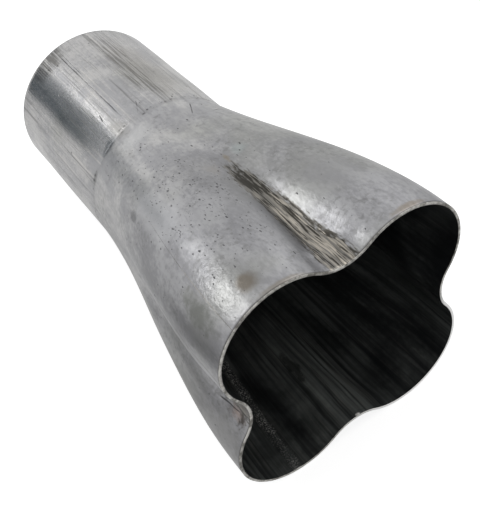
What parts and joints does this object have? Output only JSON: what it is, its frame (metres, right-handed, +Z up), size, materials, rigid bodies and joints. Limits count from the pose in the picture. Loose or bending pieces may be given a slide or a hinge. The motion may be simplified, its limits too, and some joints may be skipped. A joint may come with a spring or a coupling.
{
  "type": "exhaust collector",
  "caption": "Steel exhaust collector: one formed tube whose round outlet widens into a mouth of lobes that gathers header pipes.",
  "frame": {"origin": "centre of the outlet's sawn end", "axes": "+Y along the tube from the lobed mouth to the outlet, +Z up through one flute, so that it lies on two lobes"},
  "size_m": [0.1014, 0.2055, 0.1014],
  "materials": {
    "bare_steel": "bare mild steel, drawn and oiled, with scratches along the tube"
  },
  "bodies": {
    "root": {"collector": "bare_steel"}
  },
  "joints": []
}
